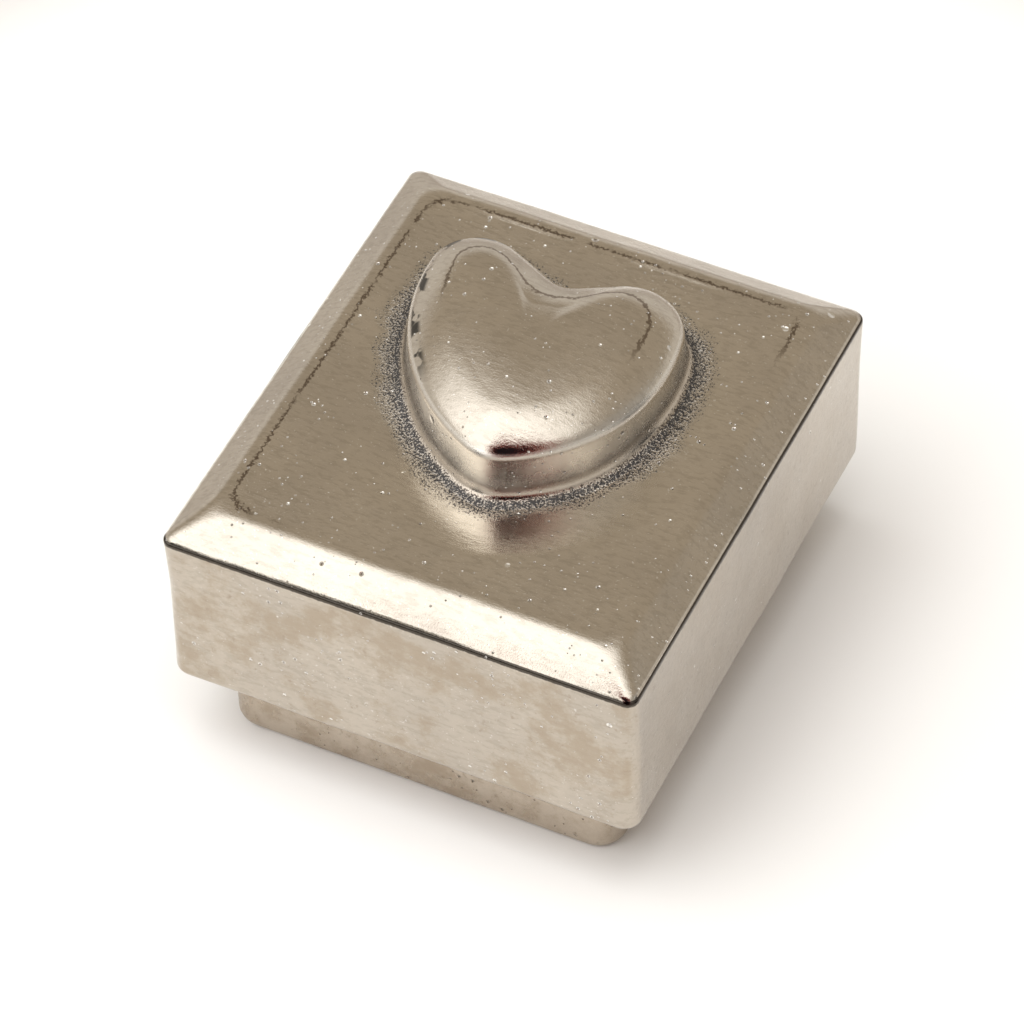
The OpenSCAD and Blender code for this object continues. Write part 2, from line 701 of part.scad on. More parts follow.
// Governor wheel: a small pinion and a slanted-tooth wheel moulded in one
module governor_wheel() color([0.9, 0.89, 0.84]) {
    slant = atan(worm_lead / (2 * PI * worm_r));
    width = wheel_y1 - wheel_y0;
    turn = tan(slant) * width / wheel_r * 180 / PI;
    movement_frame() translate([gov_x, 0, axis_z]) difference() {
        union() {
            along_y(wheel_y0) rotate(-turn / 2) linear_extrude(width, twist = -turn, slices = 3)
                polygon(gear_outline(worm_wheel_teeth, fine_m, 0.35, 0.45, 0.8, 3));
            along_y(wheel_y1 - eps) cylinder(r = 1.1, h = train_y0 - wheel_y1 + 2 * eps);
            along_y(train_y0) linear_extrude(train_y1 - train_y0)
                rotate(180 / gov_pinion_teeth)
                    polygon(gear_outline(gov_pinion_teeth, fine_m, 0.36, 0.46, 0.8));
            along_y(wheel_y0 - 0.4) cylinder(r = 1.1, h = 0.4 + eps);
        }
        along_y(-39) cylinder(r = gov_arbor_r + seat, h = 5);
    }
}

module governor_arbor() color([0.72, 0.73, 0.75])
    movement_frame() translate([gov_x, 0, axis_z]) along_y(-39.6) cylinder(r = gov_arbor_r, h = 6);

// Outline of the worm across its axis: one bump for each start of the thread
function worm_outline(root, tip) =
    [for (s = [0:worm_starts - 1], f = [-0.12, 0, 0.12, 0.28, 0.39, 0.5, 0.61, 0.72])
        let (a = 360 * (s + f) / worm_starts, r = f < 0.2 ? tip : root)
        [r * cos(a), r * sin(a)]];

// Endless screw and its arbor, cut from one rod
module worm() color([0.72, 0.73, 0.75]) {
    turn = 360 * worm_len / worm_lead;
    movement_frame() translate([worm_x, worm_y, 0]) {
        translate([0, 0, plate_t + 1.75]) cylinder(r = gov_arbor_r, h = 15);
        translate([0, 0, axis_z - worm_len / 2]) rotate(90 - turn / 2)
            linear_extrude(worm_len, twist = -turn, slices = 34) polygon(worm_outline(0.85, worm_r + 0.35));
    }
}

// Air brake: blades under a disc, on the worm's arbor
module fly() color([0.9, 0.89, 0.84])
    movement_frame() translate([worm_x, worm_y, 0]) difference() {
        union() {
            translate([0, 0, fly_z0 - 0.6]) cylinder(r = 1.1, h = fly_z1 - fly_z0 + 0.6);
            translate([0, 0, fly_z1 - 0.5]) cylinder(r = fly_r, h = 0.5);
            for (a = [0:90:270]) rotate([0, 0, a])
                translate([0.8, -0.2, fly_z0]) cube([fly_r - 0.95, 0.4, fly_z1 - fly_z0 - 0.3]);
        }
        cylinder(r = gov_arbor_r + seat, h = 20);
    }

// ---------- Stop ----------

// The lid holds this rod down, so that its pad rests on the fly
module stop_rod() color([0.72, 0.73, 0.75])
    movement_frame() {
        translate([rod_x, worm_y, plate_t + 0.5]) cylinder(r = rod_r, h = rod_top - plate_t - 1.3);
        translate([rod_x, worm_y, 13]) cylinder(r = 1.9, h = 1);
        translate([rod_x, worm_y - 0.5, arm_z]) cube([pad_x - rod_x, 1, arm_t]);
        translate([pad_x, worm_y, arm_z]) cylinder(r = 1, h = arm_t);
    }

module brake_pad() color([0.5, 0.15, 0.12])
    movement_frame() translate([pad_x, worm_y, fly_z1 + 0.1]) cylinder(r = 0.9, h = arm_z - fly_z1 - 0.1);

module rod_button() color([0.15, 0.15, 0.16])
    movement_frame() translate([rod_x, worm_y, rod_top - button_h]) difference() {
        rotate_extrude() polygon([[0, 0], [1.9, 0], [2.2, 0.4], [2.2, 1.8], [1.6, button_h], [0, button_h]]);
        translate([0, 0, -1]) cylinder(r = rod_r + seat, h = 2.7);
    }

lid();
lid_lining();
base_shell();
movement_screws();
bedplate();
spring_housing();
mainspring();
housing_screws();
rear_bracket();
front_bracket();
bracket_screws();
comb();
comb_weights();
comb_screws();
governor_frame();
governor_cap();
governor_screws();
stop_guide();
stop_spring();
movement_cover();
cover_screws();
great_wheel();
clutch_spring();
winding_arbor();
clutch_collar();
retaining_clip();
winding_key();
tune_cylinder();
cylinder_arbor();
cylinder_pinion();
train_gear();
governor_wheel();
governor_arbor();
worm();
fly();
stop_rod();
brake_pad();
rod_button();
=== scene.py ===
import math
import bmesh
import bpy
import numpy as np
from mathutils import Matrix, Vector
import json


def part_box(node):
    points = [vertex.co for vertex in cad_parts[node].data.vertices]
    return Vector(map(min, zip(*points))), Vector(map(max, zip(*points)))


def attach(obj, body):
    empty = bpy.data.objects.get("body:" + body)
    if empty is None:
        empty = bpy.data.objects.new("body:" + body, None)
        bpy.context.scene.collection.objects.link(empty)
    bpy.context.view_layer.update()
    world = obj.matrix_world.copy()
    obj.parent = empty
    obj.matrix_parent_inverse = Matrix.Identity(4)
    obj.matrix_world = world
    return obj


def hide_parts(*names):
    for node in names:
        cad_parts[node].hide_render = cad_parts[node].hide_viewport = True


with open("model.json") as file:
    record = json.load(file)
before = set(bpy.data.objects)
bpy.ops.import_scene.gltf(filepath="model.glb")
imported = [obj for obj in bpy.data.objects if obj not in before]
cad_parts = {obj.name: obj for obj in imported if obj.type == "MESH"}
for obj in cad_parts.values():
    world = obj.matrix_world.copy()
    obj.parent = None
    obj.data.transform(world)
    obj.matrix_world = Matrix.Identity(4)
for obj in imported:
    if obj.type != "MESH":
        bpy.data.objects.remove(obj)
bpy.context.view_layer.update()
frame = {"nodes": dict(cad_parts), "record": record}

MM = 0.001


# ---------- camera, light, floor ----------

# Lens and sensor width in millimetres, places and sizes in metres
LENS, SENSOR = 195.6, 36
CAMERA_AT = (0.25908, -0.52598, 0.68187)
CAMERA_FORWARD = (-0.2960, 0.5973, -0.7454)
CAMERA_RIGHT = (0.9041, 0.4270, -0.0169)
LIGHT_AT, LIGHT_SIZE, LIGHT_WATTS = (-0.15, -0.35, 1.3), 1.4, 11.5
FLOOR_R = 0.95
# Radii in metres where the floor's painted pool of light starts to fade and where it is fully dark
FLOOR_LIGHT, FLOOR_DARK = 0.150, 0.215
# The way to each thing in the room, and for the dark ones the cosines at their outer and inner edge
CANOPY_AT = (-0.2, -0.55, 0.81)
PERSON_AT = (0.26, -0.66, 0.70)
DARK_THINGS = (((0.957, 0.20, 0.18), 0.972, 0.980), ((-0.45, -0.87, 0.20), 0.975, 0.984))


def make_camera():
    data = bpy.data.cameras.new("camera")
    data.lens = LENS
    data.sensor_width = SENSOR
    data.clip_start = 0.05
    data.clip_end = 20
    forward = Vector(CAMERA_FORWARD).normalized()
    right = Vector(CAMERA_RIGHT)
    right = (right - right.dot(forward) * forward).normalized()
    up = right.cross(forward)
    turn = Matrix((right, up, -forward)).transposed().to_4x4()
    camera = bpy.data.objects.new("camera", data)
    camera.matrix_world = Matrix.Translation(CAMERA_AT) @ turn
    bpy.context.scene.collection.objects.link(camera)
    bpy.context.scene.camera = camera
    bpy.context.scene.view_settings.view_transform = "Standard"


class Net:
    """Short calls that add shader nodes and return their output sockets."""

    def __init__(self, tree):
        self.tree = tree
        tree.nodes.clear()

    def add(self, kind, inputs=None, out=0, **settings):
        node = self.tree.nodes.new(kind)
        for key, value in settings.items():
            setattr(node, key, value)
        for key, value in (inputs or {}).items():
            self.put(node.inputs[key], value)
        return node.outputs[out]

    def put(self, socket, value):
        if isinstance(value, bpy.types.NodeSocket):
            self.tree.links.new(value, socket)
        elif isinstance(value, tuple) and len(value) == 3 and len(socket.default_value) == 4:
            socket.default_value = (*value, 1)
        else:
            socket.default_value = value

    def math(self, op, a, b=0.0):
        return self.add("ShaderNodeMath", {0: a, 1: b}, operation=op)

    def fit(self, value, low, high, to_low=0.0, to_high=1.0):
        """Smooth step of value from low..high to to_low..to_high."""
        return self.add("ShaderNodeMapRange", {0: value, 1: low, 2: high, 3: to_low, 4: to_high},
                        interpolation_type="SMOOTHSTEP")

    def mix(self, factor, a, b, blend="MIX"):
        node = self.tree.nodes.new("ShaderNodeMix")
        node.data_type = "RGBA"
        node.blend_type = blend
        for key, value in ((0, factor), (6, a), (7, b)):
            self.put(node.inputs[key], value)
        return node.outputs[2]

    def noise(self, vector, scale, detail=3.0, rough=0.5):
        return self.add("ShaderNodeTexNoise", {"Vector": vector, "Scale": scale, "Detail": detail,
                                               "Roughness": rough})

    def millimetres(self, stretch=(1.0, 1.0, 1.0)):
        place = self.add("ShaderNodeTexCoord", out="Object")
        return self.add("ShaderNodeVectorMath", {0: place, 1: tuple(s / MM for s in stretch)},
                        operation="MULTIPLY")

    def split(self, vector):
        node = self.tree.nodes.new("ShaderNodeSeparateXYZ")
        self.put(node.inputs[0], vector)
        return node.outputs

    def towards(self, vector, direction):
        """Cosine of the angle between a unit vector and a direction."""
        unit = tuple(Vector(direction).normalized())
        return self.add("ShaderNodeVectorMath", {0: vector, 1: unit}, out=1,
                        operation="DOT_PRODUCT")


def make_world():
    world = bpy.data.worlds.new("studio")
    bpy.context.scene.world = world
    world.use_nodes = True
    net = Net(world.node_tree)
    way = net.add("ShaderNodeTexCoord", out="Generated")
    x, y, z = net.split(way)
    # Taupe room with a bright canopy above and in front, and light walls low down
    canopy = net.fit(net.towards(way, CANOPY_AT), 0.43, 0.83)
    sky = net.mix(canopy, (0.425, 0.37, 0.295), (1.75, 1.74, 1.72))
    sky = net.mix(net.fit(x, 0.45, 0.85), sky, (0.46, 0.44, 0.41))
    colour = net.mix(net.fit(z, 0.29, 0.42), (0.66, 0.62, 0.565), sky)
    # Dark things standing round the box, and the dark red of whoever stands in front
    ragged = net.math("MULTIPLY", net.math("SUBTRACT", net.noise(way, 6.0, 3, 0.6), 0.5), 0.05)
    for direction, low, high in DARK_THINGS:
        near = net.math("ADD", net.towards(way, direction), ragged)
        colour = net.mix(net.fit(near, low, high), colour, (0.020, 0.020, 0.024))
    person = net.math("ADD", net.towards(way, PERSON_AT), ragged)
    colour = net.mix(net.fit(person, 0.885, 0.905), colour, (0.30, 0.055, 0.04))
    colour = net.mix(net.fit(person, 0.932, 0.950), colour, (0.014, 0.010, 0.012))
    back = net.add("ShaderNodeBackground", {"Color": colour, "Strength": 1.0})
    output = net.tree.nodes.new("ShaderNodeOutputWorld")
    net.tree.links.new(back, output.inputs["Surface"])


def make_lights():
    data = bpy.data.lights.new("floor_light", "AREA")
    data.shape = "DISK"
    data.size = LIGHT_SIZE
    data.energy = LIGHT_WATTS
    data.color = (1, 0.99, 0.97)
    light = bpy.data.objects.new("floor_light", data)
    light.location = LIGHT_AT
    light.rotation_euler = (Vector((0, 0, 0)) - light.location).to_track_quat("-Z", "Y").to_euler()
    light.visible_glossy = False
    bpy.context.scene.collection.objects.link(light)


def make_floor():
    bm = bmesh.new()
    bmesh.ops.create_circle(bm, cap_ends=True, segments=96, radius=FLOOR_R)
    mesh = bpy.data.meshes.new("floor")
    bm.to_mesh(mesh)
    bm.free()
    floor = bpy.data.objects.new("floor", mesh)
    bpy.context.scene.collection.objects.link(floor)
    material = bpy.data.materials.new("floor_paper_painted_light_pool")
    material.use_nodes = True
    net = Net(material.node_tree)
    place = net.add("ShaderNodeTexCoord", out="Object")
    away = net.add("ShaderNodeVectorMath", {0: place}, out=1, operation="LENGTH")
    # Painted light: the floor is pale out to FLOOR_LIGHT and fades to dark by FLOOR_DARK, a painted
    # pool of light round the box
    tone = net.fit(away, FLOOR_LIGHT, FLOOR_DARK)
    colour = net.mix(tone, (0.93, 0.93, 0.92), (0.42, 0.39, 0.36))
    finish(net, colour, 0.9, metallic=0.0)
    mesh.materials.append(material)


# ---------- materials ----------

def finish(net, colour, roughness, metallic=1.0, normal=None, **values):
    inputs = {"Base Color": colour, "Roughness": roughness, "Metallic": metallic, **values}
    if normal is not None:
        inputs["Normal"] = normal
    shader = net.add("ShaderNodeBsdfPrincipled", inputs)
    output = net.tree.nodes.new("ShaderNodeOutputMaterial")
    net.tree.links.new(shader, output.inputs["Surface"])


def bump(net, height, strength=1.0):
    """Normal from a height in millimetres."""
    return net.add("ShaderNodeBump", {"Strength": strength, "Distance": MM, "Height": height})


def new_material(name):
    material = bpy.data.materials.new(name)
    material.use_nodes = True
    return material, Net(material.node_tree)


def times(net, a, b):
    return net.math("MULTIPLY", a, b)


def pits(net, place, scale, crowd, share, low, high):
    """Mask of round pits: a share of the cells have one, more where crowd is high, each of a
    radius between low and high cells."""
    cell = net.tree.nodes.new("ShaderNodeTexVoronoi")
    net.put(cell.inputs["Vector"], place)
    net.put(cell.inputs["Scale"], scale)
    red, green, _ = net.split(cell.outputs["Color"])
    size = net.fit(green, 0.0, 1.0, low, high)
    chosen = net.math("LESS_THAN", red, times(net, crowd, share))
    depth = net.math("SUBTRACT", 1.0, net.math("DIVIDE", cell.outputs["Distance"], size))
    return times(net, net.math("MAXIMUM", depth, 0.0), chosen)


def cast_nickel():
    material, net = new_material("cast_nickel")
    place = net.millimetres()
    heart = net.add("ShaderNodeAttribute", out="Fac", attribute_name="heart_d")
    bevel = net.add("ShaderNodeAttribute", out="Fac", attribute_name="bevel_d")
    crease = net.add("ShaderNodeAttribute", out="Fac", attribute_name="crease_d")
    side = net.add("ShaderNodeAttribute", out="Fac", attribute_name="side")
    back_left = net.add("ShaderNodeAttribute", out="Fac", attribute_name="back_left")
    x_at, y_at, _ = net.split(place)
    broad = net.noise(place, 0.06, 4)
    cloud = net.noise(place, 0.30, 5, 0.6)
    grain = net.noise(place, 4.0, 3, 0.65)
    swirl = net.noise(net.millimetres((0.35, 1.1, 1.0)), 1.3, 4, 0.65)
    colour = net.mix(net.fit(broad, 0.35, 0.65), (0.72, 0.655, 0.565), (0.665, 0.605, 0.525))
    colour = net.mix(times(net, net.fit(cloud, 0.48, 0.75), 0.22), colour, (0.50, 0.45, 0.385))
    colour = net.mix(times(net, net.fit(swirl, 0.46, 0.64), 0.34), colour, (0.45, 0.40, 0.33))
    dust = net.fit(net.noise(place, 1.7, 2, 0.75), 0.665, 0.70)
    colour = net.mix(times(net, dust, 0.7), colour, (0.97, 0.95, 0.92))
    # The sides are painted darker than the top as painted shade, with tan clouds and dark freckles
    colour = net.mix(side, colour, (0.74, 0.73, 0.72), "MULTIPLY")
    tan = times(net, net.fit(net.noise(place, 0.085, 7, 0.68), 0.45, 0.62), side)
    # Less tan on the right face: a painted cooler reflection there
    tan = times(net, tan, net.fit(x_at, 38.6, 39.4, 0.8, 0.25))
    colour = net.mix(tan, colour, (0.40, 0.33, 0.25))
    grime = times(net, net.fit(net.noise(place, 0.45, 6, 0.72), 0.57, 0.70), side)
    colour = net.mix(times(net, grime, 0.65), colour, (0.34, 0.275, 0.215))
    # Blue-black grains in the corner round the heart, thinning out on both sides
    wander = times(net, net.math("SUBTRACT", net.noise(place, 0.16, 3), 0.5), 5.0)
    reach = net.math("ADD", heart, wander)
    ring = times(net, net.fit(heart, 0.1, 1.2), net.fit(reach, 6.4, 1.8))
    grains = net.noise(place, 3.0, 1.5, 0.8)
    dense = times(net, net.fit(heart, 2.6, 0.4), 0.07)
    grey = net.math("ADD", times(net, ring, 0.15), times(net, dense, ring))
    speck = net.fit(net.math("ADD", grains, grey), 0.60, 0.66)
    speck = times(net, speck, net.fit(ring, 0.0, 0.12))
    colour = net.mix(times(net, ring, 0.45), colour, (0.26, 0.245, 0.235))
    colour = net.mix(times(net, speck, 0.86), colour, (0.035, 0.038, 0.048))
    # Painted dark reflections: black patches on the left of the heart's shoulder, inside its bright
    # rim
    shoulder = times(net, net.fit(heart, -3.4, -2.6), net.fit(heart, -1.35, -1.9))
    painted_dark_reflection = net.fit(net.noise(place, 0.22, 3, 0.6), 0.50, 0.55)
    painted_dark_reflection = times(net, times(net, painted_dark_reflection, shoulder), net.fit(x_at, -12.0, -16.0))
    colour = net.mix(times(net, painted_dark_reflection, 0.9), colour, (0.020, 0.020, 0.018))
    # A ragged brown line runs round the back of the heart's shoulder
    torn = net.math("MULTIPLY", net.math("SUBTRACT", net.noise(place, 1.1, 4, 0.7), 0.5), 2.2)
    inner = net.math("ABSOLUTE", net.math("ADD", net.math("ADD", heart, 6.4), torn))
    inner = times(net, net.fit(inner, 0.42, 0.14), net.fit(y_at, 6.0, 12.0))
    colour = net.mix(times(net, inner, 0.75), colour, (0.15, 0.10, 0.065))
    # The heart's wall painted brighter, a painted reflection of the light walls round it
    wall = times(net, net.fit(heart, -1.75, -1.45), net.fit(heart, 0.5, -0.2))
    colour = net.mix(times(net, wall, 0.75), colour, (0.95, 0.91, 0.84))
    stain = times(net, net.fit(heart, -1.4, -0.4), net.fit(heart, 1.2, 0.2))
    colour = net.mix(times(net, stain, 0.22), colour, (0.30, 0.18, 0.09))
    # Ragged brown line where the bevel falls away, partly tarnish and partly a painted reflection
    # of the dark horizon, and a painted dark reflection along the crease under it
    jag = net.math("SUBTRACT", net.noise(place, 1.3, 5, 0.75), 0.5)
    off = net.math("ABSOLUTE", net.math("ADD", bevel, times(net, jag, 3.0)))
    brown = times(net, net.fit(off, 0.34, 0.10), net.fit(net.noise(place, 0.25, 2), 0.34, 0.46))
    colour = net.mix(times(net, times(net, brown, back_left), 0.85), colour, (0.13, 0.085, 0.055))
    # Painted dark reflection along the crease
    drop = net.math("ABSOLUTE", net.math("ADD", crease, times(net, jag, 0.55)))
    dark = net.fit(drop, 0.46, 0.18)
    colour = net.mix(times(net, dark, 0.90), colour, (0.030, 0.024, 0.019))
    # Casting pits: dark in the middle, with a painted highlight bright round the rim
    crowd = net.fit(net.noise(place, 0.10, 3), 0.38, 0.62)
    large = pits(net, place, 0.17, crowd, 0.55, 0.06, 0.15)
    small = pits(net, place, 0.50, crowd, 0.50, 0.08, 0.20)
    fine = pits(net, place, 1.1, crowd, 0.30, 0.12, 0.26)
    holes = net.math("MAXIMUM", net.math("MAXIMUM", large, small), fine)
    rim = times(net, net.fit(holes, 0.02, 0.12), net.fit(holes, 0.60, 0.40))
    colour = net.mix(times(net, rim, 0.85), colour, (0.93, 0.91, 0.87))
    colour = net.mix(times(net, net.fit(holes, 0.55, 0.85), 0.7), colour, (0.09, 0.075, 0.06))
    rough = net.math("ADD", net.fit(cloud, 0.3, 0.75, 0.06, 0.15), times(net, speck, 0.35))
    rough = net.math("ADD", rough, times(net, wall, 0.18))
    height = net.math("ADD", times(net, grain, 0.022), times(net, holes, -0.30))
    height = net.math("ADD", height, times(net, swirl, 0.030))
    height = net.math("ADD", height, times(net, times(net, grains, ring), 0.22))
    ripple = times(net, net.noise(place, 0.9, 3, 0.6), side)
    height = net.math("ADD", height, times(net, ripple, 0.05))
    finish(net, colour, rough, normal=bump(net, height))
    return material


def plain_metal(name, colour, dark, rough, scratch=0.004):
    material, net = new_material(name)
    place = net.millimetres()
    cloud = net.noise(place, 0.5, 4, 0.6)
    grain = net.noise(place, 9.0, 3, 0.6)
    tone = net.mix(net.fit(cloud, 0.35, 0.7), colour, dark)
    height = times(net, grain, scratch)
    normal = bump(net, height)
    finish(net, tone, net.fit(cloud, 0.3, 0.7, rough * 0.8, rough * 1.3), normal=normal)
    return material


def base_nickel():
    """Half-polished plating, painted darker than the lid's as painted shade under it, with tan
    stains and pits.
    """
    material, net = new_material("base_nickel")
    place = net.millimetres()
    cloud = net.noise(place, 0.12, 6, 0.65)
    grime = net.noise(place, 0.5, 6, 0.7)
    grain = net.noise(place, 3.5, 3, 0.6)
    # Painted shade: a darker tan tone than the lid's, for the shade under the lid, with tan clouds
    colour = net.mix(net.fit(cloud, 0.36, 0.62), (0.56, 0.49, 0.405), (0.42, 0.345, 0.265))
    colour = net.mix(times(net, net.fit(grime, 0.58, 0.72), 0.6), colour, (0.27, 0.215, 0.16))
    crowd = net.fit(net.noise(place, 0.15, 3), 0.35, 0.6)
    holes = net.math("MAXIMUM", pits(net, place, 0.45, crowd, 0.5, 0.08, 0.2),
                     pits(net, place, 1.2, crowd, 0.3, 0.12, 0.26))
    colour = net.mix(times(net, net.fit(holes, 0.35, 0.75), 0.7), colour, (0.08, 0.065, 0.05))
    height = net.math("ADD", times(net, grain, 0.012), times(net, net.noise(place, 0.7, 3), 0.05))
    height = net.math("ADD", height, times(net, holes, -0.25))
    normal = bump(net, height)
    finish(net, colour, net.fit(cloud, 0.3, 0.7, 0.20, 0.34), normal=normal)
    return material


def plastic(name, colour, dark, rough, **values):
    material, net = new_material(name)
    place = net.millimetres()
    cloud = net.noise(place, 0.4, 4, 0.6)
    grain = net.noise(place, 14.0, 2, 0.5)
    tone = net.mix(net.fit(cloud, 0.35, 0.7), colour, dark)
    normal = bump(net, times(net, grain, 0.01), 0.6)
    finish(net, tone, net.fit(cloud, 0.3, 0.7, rough * 0.85, rough * 1.2), metallic=0.0,
           normal=normal, **values)
    return material


# ---------- lid ----------

lid_low, lid_high = (np.array(c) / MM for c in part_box("lid"))
# Millimetres, all but the shares LEAN, BEVEL_ROUND and WIDER. These are the CAD source's own
HEART_H = 11.5
HEART_W = 44.6
HEART_AT = np.array([-0.2, 3.5])
DOME = 0.9
LEAN = 0.11
CREASE_Z = 46.4
BEVEL_W = 8.4
BEVEL_ROUND = 0.45
CORNER_R = 1.8
WALL = 5.5
CEILING_Z = 45.5
top_z = lid_high[2] - HEART_H
skirt_z = lid_low[2]
box_w, box_d = lid_high[0] - lid_low[0], lid_high[1] - lid_low[1]
# Length over which the heart's corners are softened, and the corner radius at the lid's foot
OUTLINE_SOFT = 10.0
SKIRT_R = 2.8
# How much wider the bevel is in front, and how far out from its inner edge the brown line runs
WIDER = 0.10
BEVEL_LINE = 0.9
FELT_CORNER = 1.6
# Points in each ring of the casting, and the felts that wait for the palette
AROUND = 960
DRESSED = []


def lattice(seed, size=64):
    return np.random.RandomState(seed).rand(size, size) * 2 - 1


def noise2(x, y, step, seed):
    """Smooth noise in -1..1 over a lattice with the given step, in mm."""
    table = lattice(seed)
    size = len(table)
    u, v = np.asarray(x) / step + 17.3, np.asarray(y) / step + 9.1
    i, j = np.floor(u).astype(int), np.floor(v).astype(int)
    f, g = u - i, v - j
    f, g = f * f * (3 - 2 * f), g * g * (3 - 2 * g)

    def at(a, b):
        return table[a % size, b % size]

    low = at(i, j) * (1 - f) + at(i + 1, j) * f
    high = at(i, j + 1) * (1 - f) + at(i + 1, j + 1) * f
    return low * (1 - g) + high * g


def smooth(value, low, high):
    t = np.clip((value - low) / (high - low), 0, 1)
    return t * t * (3 - 2 * t)


def arc(centre, radius, a0, a1, count):
    a = np.linspace(a0, a1, count)[:, None]
    return np.asarray(centre) + radius * np.hstack([np.cos(a), np.sin(a)])


def heart_outline():
    """Points round the heart, about its own centre, anticlockwise up to the notch."""
    lobe_r, tip_r, flank_r = 0.195 * HEART_W, 0.13 * HEART_W, 0.74 * HEART_W
    lobe = np.array([0.293, 0.3]) * HEART_W
    notch = np.array([0, 0.373 * HEART_W])
    tip = np.array([0, -0.335 * HEART_W])
    gap = tip - lobe
    d = np.hypot(*gap)
    u = gap / d
    a, b = flank_r - lobe_r, flank_r - tip_r
    along = (a * a - b * b + d * d) / (2 * d)
    flank = lobe + along * u + math.sqrt(a * a - along * along) * np.array([u[1], -u[0]])

    def heading(v):
        return math.atan2(v[1], v[0])

    to_lobe = lobe - notch
    rise = heading(to_lobe) + math.asin(lobe_r / np.hypot(*to_lobe))
    lobe_end = heading(lobe - flank)
    flank_end = heading(tip - flank)
    start = lobe + lobe_r * np.array([math.cos(rise + math.pi / 2), math.sin(rise + math.pi / 2)])
    run = notch + (start - notch) * np.linspace(0, 1, 200)[:-1, None]
    half = np.vstack([run, arc(lobe, lobe_r, rise + math.pi / 2, lobe_end, 900)[:-1],
                      arc(flank, flank_r, lobe_end, flank_end, 500)[:-1],
                      arc(tip, tip_r, flank_end, -math.pi / 2, 300)])
    whole = np.vstack([half, half[-2:0:-1] * [-1, 1], half[:1]])
    # Even steps, then a soft corner at the notch and a rounder point
    along = np.concatenate([[0], np.cumsum(np.hypot(*np.diff(whole, axis=0).T))])
    even = np.linspace(0, along[-1], 3001)[:-1]
    whole = np.column_stack([np.interp(even, along, whole[:, k]) for k in (0, 1)])
    reach = int(OUTLINE_SOFT / even[1]) | 1
    window = np.hanning(reach + 2)[1:-1]
    window /= window.sum()
    around = np.vstack([whole[-(reach // 2):], whole, whole[:reach // 2]])
    soft = np.column_stack([np.convolve(around[:, k], window, "valid") for k in (0, 1)])
    low_point = tip - [0, tip_r]
    share = np.maximum(smooth(np.hypot(*(whole - notch).T), 9.5, 6.0),
                       smooth(np.hypot(*(whole - low_point).T), 17.0, 7.0))[:, None]
    whole = (whole + (soft - whole) * share)[::-1]
    whole[:, 0] -= LEAN * whole[:, 1]
    return whole


def ray_radius(angles, outline):
    """Distance to the outline along each angle from the origin."""
    a = np.unwrap(np.arctan2(outline[:, 1], outline[:, 0]))
    r = np.hypot(outline[:, 0], outline[:, 1])
    a3 = np.concatenate([a - 2 * math.pi, a, a + 2 * math.pi])
    r3 = np.tile(r, 3)
    order = np.argsort(a3)
    return np.interp(angles, a3[order], r3[order])


def rect_outline(inset, radius, wide=0.0, count=4000):
    """Points round the lid's plan, inset by that much, about the heart's centre. wide is how much
    further the front and the right are inset, as a share."""
    west, east = inset - box_w / 2, box_w / 2 - inset * (1 + wide * 0.35)
    south, north = inset * (1 + wide) - box_d / 2, box_d / 2 - inset
    corners = [arc((x, y), radius, a, a + math.pi / 2, count // 8)
               for x, y, a in ((east - radius, north - radius, 0),
                               (west + radius, north - radius, math.pi / 2),
                               (west + radius, south + radius, math.pi),
                               (east - radius, south + radius, 1.5 * math.pi))]
    points = np.vstack(corners + [corners[0][:1]])
    steps = np.hypot(*np.diff(points, axis=0).T)
    along = np.concatenate([[0], np.cumsum(steps)])
    even = np.linspace(0, along[-1], count)
    points = np.column_stack([np.interp(even, along, points[:, k]) for k in (0, 1)])
    return points[:-1] - HEART_AT


def spread_angles(heart):
    """Angles round the heart's centre, close together where either outline runs long."""
    grid = np.linspace(-math.pi, math.pi, 20001)
    density = np.zeros(len(grid) - 1)
    for outline, share in ((heart, 0.45), (rect_outline(0, CORNER_R), 0.45)):
        r = ray_radius(grid, outline)
        step = np.hypot(np.diff(r * np.cos(grid)), np.diff(r * np.sin(grid)))
        density += share * step / step.sum()
    density += 0.1 / len(density)
    total = np.concatenate([[0], np.cumsum(density)])
    angles = np.interp(np.arange(AROUND) / AROUND, total / total[-1], grid)
    notch = math.atan2(heart[-1][1], heart[-1][0])
    angles[np.argmin(abs(angles - notch))] = notch
    return angles


def distance_to(points, outline):
    """Distance of each point from the nearest outline sample."""
    best = np.full(len(points), 1e9)
    for k in range(0, len(outline), 4):
        np.minimum(best, (points[:, 0] - outline[k, 0]) ** 2 + (points[:, 1] - outline[k, 1]) ** 2,
                   out=best)
    return np.sqrt(best)


def drop_of(s):
    """Share of the bevel's drop at share s of its width, from its inner edge."""
    q = 1 / (1 - BEVEL_ROUND / 2)
    return np.where(s < BEVEL_ROUND, q * s * s / (2 * BEVEL_ROUND), q * (s - BEVEL_ROUND / 2))


def shoulder_profile():
    """The heart's shoulder from its rim inwards: distances in from the rim, and rises above it."""
    inward, rise, x, z = [0.0], [0.0], 0.0, 0.0
    for length, steep, flat in ((1.1, 90, 52), (1.8, 52, 34), (3.6, 34, 23), (3.2, 23, 9)):
        for tilt in np.radians(np.linspace(steep, flat, 12)[1:]):
            x += length / 11 * math.cos(tilt)
            z += length / 11 * math.sin(tilt)
            inward.append(x)
            rise.append(z)
    return np.array(inward), np.array(rise)


